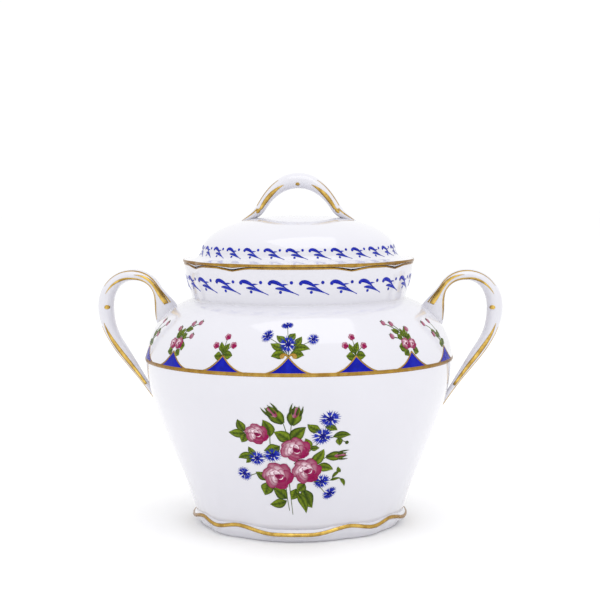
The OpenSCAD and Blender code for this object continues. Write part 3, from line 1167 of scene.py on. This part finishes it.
class SUGAR_OT_lid(bpy.types.Operator):
    """Turn the lid's dome with its lobed edge"""

    bl_idname = "sugar.lid"
    bl_label = "Lid"

    def execute(self, context):
        sizes = context.scene.sugar_sizes
        wall = sizes.lid_wall / MM
        top = list(reversed(LID_CROWN)) + list(reversed(LID_SKIRT))[1:]
        edge = arc((LID_R - 0.2, LID_Z + EDGE_H - 0.2), 0.2, 90, 0, 3) + [Vector(p) for p in (
            (LID_R, LID_Z + 0.1), (LID_R - 0.02, LID_Z), (LID_R - 0.4, LID_Z), (COLLAR_R + 1, LID_Z),
            (COLLAR_R, LID_Z), (COLLAR_R - wall, LID_Z),
        )]
        under = inward(LID_SKIRT + LID_CROWN[1:], wall)
        under = [p for p in under if p.y > LID_Z + EDGE_H and p.x < COLLAR_R - wall]
        bm = bmesh.new()
        turned(bm, top + edge + under, False)
        shaped(bm, lid_move(sizes))
        in_porcelain(bm, "lid_shell", "lid", "lid_dome")
        return {"FINISHED"}


class SUGAR_OT_lid_ring(bpy.types.Operator):
    """Turn the ring under the lid that sits in the neck"""

    bl_idname = "sugar.lid_ring"
    bl_label = "Lid's locating ring"

    def execute(self, context):
        wall = context.scene.sugar_sizes.lid_wall / MM
        middle = COLLAR_R - wall / 2
        outline = [Vector((COLLAR_R, LID_Z + 0.05))]
        outline += arc((middle, COLLAR_Z + wall / 2), wall / 2, 0, -180, 10)
        outline.append(Vector((COLLAR_R - wall, LID_Z + 0.05)))
        bm = bmesh.new()
        turned(bm, outline, True)
        in_porcelain(bm, "lid_ring", "lid", "lid_collar")
        return {"FINISHED"}


class SUGAR_OT_bow(bpy.types.Operator):
    """Sweep the bow over the lid"""

    bl_idname = "sugar.bow"
    bl_label = "Lid's bow"

    def execute(self, context):
        bm = bmesh.new()
        bow_strap(context.scene.sugar_sizes).swept(bm)
        softened(in_porcelain(bm, "lid_bow", "lid", "lid_handle"), 3)
        return {"FINISHED"}


class SUGAR_OT_gold_lines(bpy.types.Operator):
    """Lay the gold lines on the belly, the rim, the foot and the lid's edge"""

    bl_idname = "sugar.gold_lines"
    bl_label = "Gold lines"

    def execute(self, context):
        sizes = context.scene.sugar_sizes
        around = Wall(LOWER_WALL + SHOULDER[1:])
        rim = Wall(NECK_SIDE + LIP_OUTSIDE)
        edge = Wall([Vector((LID_R, LID_Z)), Vector((LID_R, LID_Z + EDGE_H))])
        foot = Wall([Vector(p) for p in ((36.6, 2.2), (36.85, 3.0), (36.4, 3.9))])
        for name, body, node, gold, wall, middle, width, proud, move in (
            ("belly_line", "bowl", "belly_gilt_band", "umber_gold",
             around, LOWER.marks[-1], 1.25, 0.14, None),
            ("rim_line", "bowl", "rim_gilt_band", "umber_gold",
             rim, rim.marks[-1] - 0.42, 0.74, 0.1, body_move(sizes)),
            ("lid_line", "lid", "lid_gilt_band", "umber_gold",
             edge, EDGE_H * 0.5, EDGE_H * 0.96, 0.1, lid_move(sizes)),
            ("foot_line", "bowl", "foot_gilt_band", "burnished_gold",
             foot, foot.marks[-1] / 2, 1.35, 0.14, foot_move(sizes)),
        ):
            bm = bmesh.new()
            turned(bm, band_outline(wall, middle, width, proud), True)
            if move:
                shaped(bm, move)
            finished(bm, name, body, (node,), gold)
        return {"FINISHED"}


def gilt_stroke(bm, strap, first, last, angle, width, lift=0.06):
    """A gold stroke along a strap: angle says where round the strap it lies, in turns of a half circle."""
    along, across = 36, 4
    grid = bmesh.ops.create_grid(bm, x_segments=along, y_segments=across, size=0.5)["verts"]
    for v in grid:
        t, side = v.co.x + 0.5, 2 * v.co.y
        u = first + (last - first) * t
        girth = (strap.value(strap.thick, u) + strap.value(strap.wide, u)) / 4
        v.co = strap.surface(u, math.pi * angle(t) + side * width(t) / 2 / girth, lift)
    bmesh.ops.remove_doubles(bm, verts=grid, dist=SAME_SPOT)


def gilt_dot(bm, strap, u, angle, long, wide):
    """A gold dot on the face of a strap."""
    half = long / 2 / max((strap.point(u + 0.05) - strap.point(u - 0.05)).length * 10, 0.01)
    gilt_stroke(bm, strap, u - half, u + half, lambda t: angle, rounded(wide), 0.1)


def straight(a, b):
    """A value that goes evenly from a to b."""
    return lambda t: a + (b - a) * t


class SUGAR_OT_handle_gilding(bpy.types.Operator):
    """Brush the gold strokes along the side handles and the bow"""

    bl_idname = "sugar.handle_gilding"
    bl_label = "Handle gilding"

    def execute(self, context):
        sizes = context.scene.sugar_sizes
        strap = side_strap(sizes)
        for name, side in (("right", 1), ("left", -1)):
            bm = bmesh.new()
            for face in (1, -1):
                def on(a, b, face=face):
                    return straight(a * face, b * face)

                gilt_stroke(bm, strap, 2.62, 0.42, on(0.22, 0.24), swell(0.7, 0.5, 0.1, 0.5))
                gilt_stroke(bm, strap, 2.74, 2.0, on(0.46, 0.7), swell(1.2, 0.8, 0.1, 1.1))
                gilt_stroke(bm, strap, 2.02, 1.0, on(0.7, 0.74), lambda t: 1.1)
                gilt_stroke(bm, strap, 1.02, 0.12, on(0.74, 0.84), swell(1.2, 0.3, 0.9, 0.1))
                gilt_stroke(bm, strap, 1.9, 0.42, on(0.46, 0.38), swell(2.2, 0.8, 0.1, 1.6), 0.07)
                gilt_dot(bm, strap, 3.0, 0.62 * face, 1.5, 2.3)
                gilt_stroke(bm, strap, 3.38, 4.68, on(0.38, 0.5), swell(1.9, 0.55, 0.1, 1.1))
                gilt_stroke(bm, strap, 3.46, 4.96, on(0.16, 0.2), swell(0.5, 0.5, 0.1, 0.3))
            bmesh.ops.scale(bm, vec=(side, 1, 1), verts=bm.verts)
            outward(bm, lambda p, side=side: nearest_middle(strap, p, side))
            leafed(bm, "side_gilding_" + name, "bowl")
        bow = bow_strap(sizes)
        bm = bmesh.new()
        for face in (1, -1):
            for start, way in ((0, 1), (4, -1)):
                def at(u, start=start, way=way):
                    return start + way * u

                for first, last, a, b, width in (
                    (0.96, 1.72, 0.56, 0.55, swell(2.0, 0.4, 1.3, 0.1)),
                    (0.98, 1.66, 0.2, 0.22, swell(0.45, 0.4, 0.4, 0.1)),
                    (0.08, 0.9, 0.3, 0.36, swell(0.6, 0.8, 0.1, 0.6)),
                ):
                    gilt_stroke(bm, bow, at(first), at(last), straight(a * face, b * face), width)
                gilt_dot(bm, bow, at(0.86), 0.52 * face, 2.0, 1.6)
            gilt_dot(bm, bow, 2.0, 0.645 * face, 1.5, 1.3)
        outward(bm, lambda p: nearest_middle(bow, p, 1))
        leafed(bm, "bow_gilding", "lid")
        return {"FINISHED"}


def nearest_middle(strap, place, side):
    """The nearest of the points along a strap's middle line, mirrored when side is -1."""
    row = [strap.point(strap.count * i / 48) for i in range(49)]
    spots = [Vector((side * p.x, 0, p.y)) for p in row]
    return min(spots, key=lambda s: (s - place).length_squared)


def outward(bm, middle):
    """Turns each face so that it looks away from the middle of its strap."""
    bm.normal_update()
    wrong = []
    for face in bm.faces:
        centre = face.calc_center_median()
        if face.normal.dot(centre - middle(centre)) < 0:
            wrong.append(face)
    bmesh.ops.reverse_faces(bm, faces=wrong)


def leafed(bm, name, body):
    """Makes the gold strokes of one handle a piece."""
    thickened(finished(bm, name, body, (), "burnished_gold"), LEAF_GOLD)


class SUGAR_OT_scrolls(bpy.types.Operator):
    """Paint the blue scrolls round the neck and the lid"""

    bl_idname = "sugar.scrolls"
    bl_label = "Blue scrolls"

    def execute(self, context):
        scene = context.scene
        decor, colours = scene.sugar_decor, scene.sugar_colours
        for name, body, wall, count, first, middle, length, height, move in (
            ("neck_scrolls", "bowl", COLLAR, decor.neck_scrolls, 11.2, 6.15, 10.0, 5.2,
             body_move(scene.sugar_sizes)),
            ("lid_scrolls", "lid", LID, decor.lid_scrolls, 2.6, 5.9, 7.2, 4.1, None),
        ):
            art = painting()
            scroll(art, colours, length, height)
            bm = painting()
            for k in range(count):
                wrapped(bm, art, wall, math.radians(first) + TURN * k / count, middle)
            art.free()
            if move:
                shaped(bm, move)
            fired(bm, name, body, "blue_enamel", decor.enamel)
        return {"FINISHED"}


PEAKS = (-3, -2, -1, 0, 1, 2, 3)


class SUGAR_OT_peaks(bpy.types.Operator):
    """Paint the blue peaks over the belly line and their gold arcs"""

    bl_idname = "sugar.peaks"
    bl_label = "Blue peaks"

    def execute(self, context):
        decor, colours = context.scene.sugar_decor, context.scene.sugar_colours
        height = decor.peak_height / MM
        fills, lines = painting(), painting()
        fill, line, crowned = painting(), painting(), painting()
        peak_fill(fill, colours, height)
        peak_outline(line, colours, height, False)
        peak_outline(crowned, colours, height, True)
        for half in (0, math.pi):
            for k in PEAKS:
                turn = half + k * decor.peak_turn
                wrapped(fills, fill, UPPER, turn, 0)
                wrapped(lines, crowned if k == 0 else line, UPPER, turn, 0)
        for art in (fill, line, crowned):
            art.free()
        fired(fills, "peak_blues", "bowl", "blue_enamel", decor.enamel)
        fired(lines, "peak_gold", "bowl", "umber_gold", decor.enamel)
        return {"FINISHED"}


ENAMELS = {
    "leaf": ("green_enamel", "leaves"),
    "pink": ("pink_enamel", "roses"),
    "blue": ("blue_enamel", "cornflowers"),
}


def flower_work(context, name, draw_all):
    """Draws flower work into one mesh for each enamel and fires them."""
    depth = context.scene.sugar_decor.enamel
    whole = {key: painting() for key in ENAMELS}
    draw_all(whole)
    for key, (slot, kind) in ENAMELS.items():
        fired(whole[key], name + "_" + kind, "bowl", slot, depth)


def placed(whole, draw, wall, turn, start):
    """Draws one motif flat and wraps its parts onto the wall."""
    parts = {key: painting() for key in ENAMELS}
    draw(parts)
    for key, art in parts.items():
        wrapped(whole[key], art, wall, turn, start)
        art.free()


class SUGAR_OT_sprigs(bpy.types.Operator):
    """Paint a sprig over each blue peak"""

    bl_idname = "sugar.sprigs"
    bl_label = "Sprigs"

    def execute(self, context):
        decor, colours = context.scene.sugar_decor, Palette(context.scene.sugar_colours)
        base = decor.peak_height / MM

        def draw_all(whole):
            for half in (0, math.pi):
                for k in PEAKS:
                    lean = -1 if k > 0 else 1
                    motif = (
                        lambda parts: blue_spray(parts, colours, base),
                        lambda parts, lean=lean: pink_sprig(parts, colours, base, lean),
                        lambda parts, lean=lean: rose_sprig(parts, colours, base, lean),
                        lambda parts, lean=lean: bud_sprig(parts, colours, base, lean),
                    )[abs(k)]
                    placed(whole, motif, UPPER, half + k * decor.peak_turn, 0)

        flower_work(context, "sprig", draw_all)
        return {"FINISHED"}


class SUGAR_OT_bouquets(bpy.types.Operator):
    """Paint the large bouquet on the front and the back"""

    bl_idname = "sugar.bouquets"
    bl_label = "Bouquets"

    def execute(self, context):
        colours = Palette(context.scene.sugar_colours)

        def draw_all(whole):
            for half in (0, math.pi):
                placed(whole, lambda parts: bouquet(parts, colours), LOWER, half, BOUQUET_UP)

        flower_work(context, "bouquet", draw_all)
        return {"FINISHED"}


class Palette:
    """The colours as plain tuples, for quick mixing."""

    def __init__(self, c):
        for name in ("gold", "thin_gold_and_glancing_shade", "cobalt", "pale_blue", "rose", "pale_rose", "leaf", "dark_leaf"):
            setattr(self, name, tuple(getattr(c, name)))


class SUGAR_OT_finishes(bpy.types.Operator):
    """Mix the glaze, the gold and the enamels"""

    bl_idname = "sugar.finishes"
    bl_label = "Finishes"

    def execute(self, context):
        colours = context.scene.sugar_colours
        mottle_group()
        ripple_group()
        porcelain_finish(colours)
        gold_finish(colours, "burnished_gold", 0.0)
        gold_finish(colours, "umber_gold", 0.55)
        enamel_finish("blue_enamel", 600.0, 0.7)
        enamel_finish("pink_enamel", 900.0, 0.8)
        enamel_finish("green_enamel", 800.0, 0.72)
        floor_finish()
        return {"FINISHED"}


class SUGAR_OT_stage(bpy.types.Operator):
    """Set the floor, the lights and the camera"""

    bl_idname = "sugar.stage"
    bl_label = "Stage"

    def execute(self, context):
        stage = context.scene.sugar_stage
        bm = bmesh.new()
        bmesh.ops.create_grid(bm, x_segments=4, y_segments=4, size=4.0)
        mesh = bpy.data.meshes.new("floor")
        bm.to_mesh(mesh)
        bm.free()
        mesh.materials.append(bpy.data.materials["pale_floor"])
        floor = bpy.data.objects.new("floor", mesh)
        context.scene.collection.objects.link(floor)

        context.scene.view_settings.view_transform = "Standard"
        world = bpy.data.worlds.new("soft_white")
        world.use_nodes = True
        sky = world.node_tree.nodes["Background"]
        sky.inputs["Color"].default_value = (1, 1, 1, 1)
        sky.inputs["Strength"].default_value = stage.sky
        context.scene.world = world

        area_light(context, "overhead", (0.1, -0.25, 0.9), (0, 0, 0.05), 0.8, stage.key)

        camera = bpy.data.cameras.new("camera")
        camera.sensor_width = 36
        camera.lens = stage.lens
        camera.clip_start = 0.01
        eye = bpy.data.objects.new("camera", camera)
        place = Vector((stage.distance * math.sin(stage.turn), -stage.distance * math.cos(stage.turn),
                        stage.height))
        place += stage.aside * Vector((math.cos(stage.turn), math.sin(stage.turn), 0))
        flat = math.cos(stage.pitch)
        look = Vector((-math.sin(stage.turn) * flat, math.cos(stage.turn) * flat, -math.sin(stage.pitch)))
        eye.location = place
        level = look.to_track_quat("-Z", "Y")
        eye.rotation_euler = (level @ Quaternion((0, 0, 1), stage.roll)).to_euler()
        context.scene.collection.objects.link(eye)
        context.scene.camera = eye
        return {"FINISHED"}


def area_light(context, name, place, target, size, power):
    """A square soft light at a place, facing a target."""
    light = bpy.data.lights.new(name, "AREA")
    light.size = size
    light.energy = power
    lamp = bpy.data.objects.new(name, light)
    lamp.location = place
    lamp.rotation_euler = (Vector(target) - Vector(place)).to_track_quat("-Z", "Y").to_euler()
    context.scene.collection.objects.link(lamp)


class SUGAR_PT_panel(bpy.types.Panel):
    """The pieces of the sugar bowl, in the order in which they are made"""

    bl_idname = "SUGAR_PT_panel"
    bl_label = "Sugar Bowl"
    bl_space_type = "VIEW_3D"
    bl_region_type = "UI"
    bl_category = "Sugar Bowl"

    def draw(self, context):
        for step in STEPS:
            self.layout.operator(step.bl_idname)
        for group in ("sugar_sizes", "sugar_decor", "sugar_colours", "sugar_stage"):
            values = getattr(context.scene, group)
            box = self.layout.box()
            for name in values.__annotations__:
                box.prop(values, name)


STEPS = (
    SUGAR_OT_finishes, SUGAR_OT_stage, SUGAR_OT_bowl, SUGAR_OT_foot, SUGAR_OT_side_handles, SUGAR_OT_lid,
    SUGAR_OT_lid_ring, SUGAR_OT_bow, SUGAR_OT_gold_lines, SUGAR_OT_handle_gilding, SUGAR_OT_scrolls,
    SUGAR_OT_peaks, SUGAR_OT_sprigs, SUGAR_OT_bouquets,
)
GROUPS = {"sugar_sizes": BowlSizes, "sugar_decor": DecorSizes, "sugar_colours": FinishColours,
          "sugar_stage": StageSettings}


def register():
    for name, group in GROUPS.items():
        bpy.utils.register_class(group)
        setattr(bpy.types.Scene, name, PointerProperty(type=group))
    for step in STEPS:
        bpy.utils.register_class(step)
    bpy.utils.register_class(SUGAR_PT_panel)


def unregister():
    bpy.utils.unregister_class(SUGAR_PT_panel)
    for step in reversed(STEPS):
        bpy.utils.unregister_class(step)
    for name, group in GROUPS.items():
        delattr(bpy.types.Scene, name)
        bpy.utils.unregister_class(group)


def main():
    register()
    for step in STEPS:
        family, name = step.bl_idname.split(".")
        getattr(getattr(bpy.ops, family), name)()


if __name__ == "__main__":
    main()
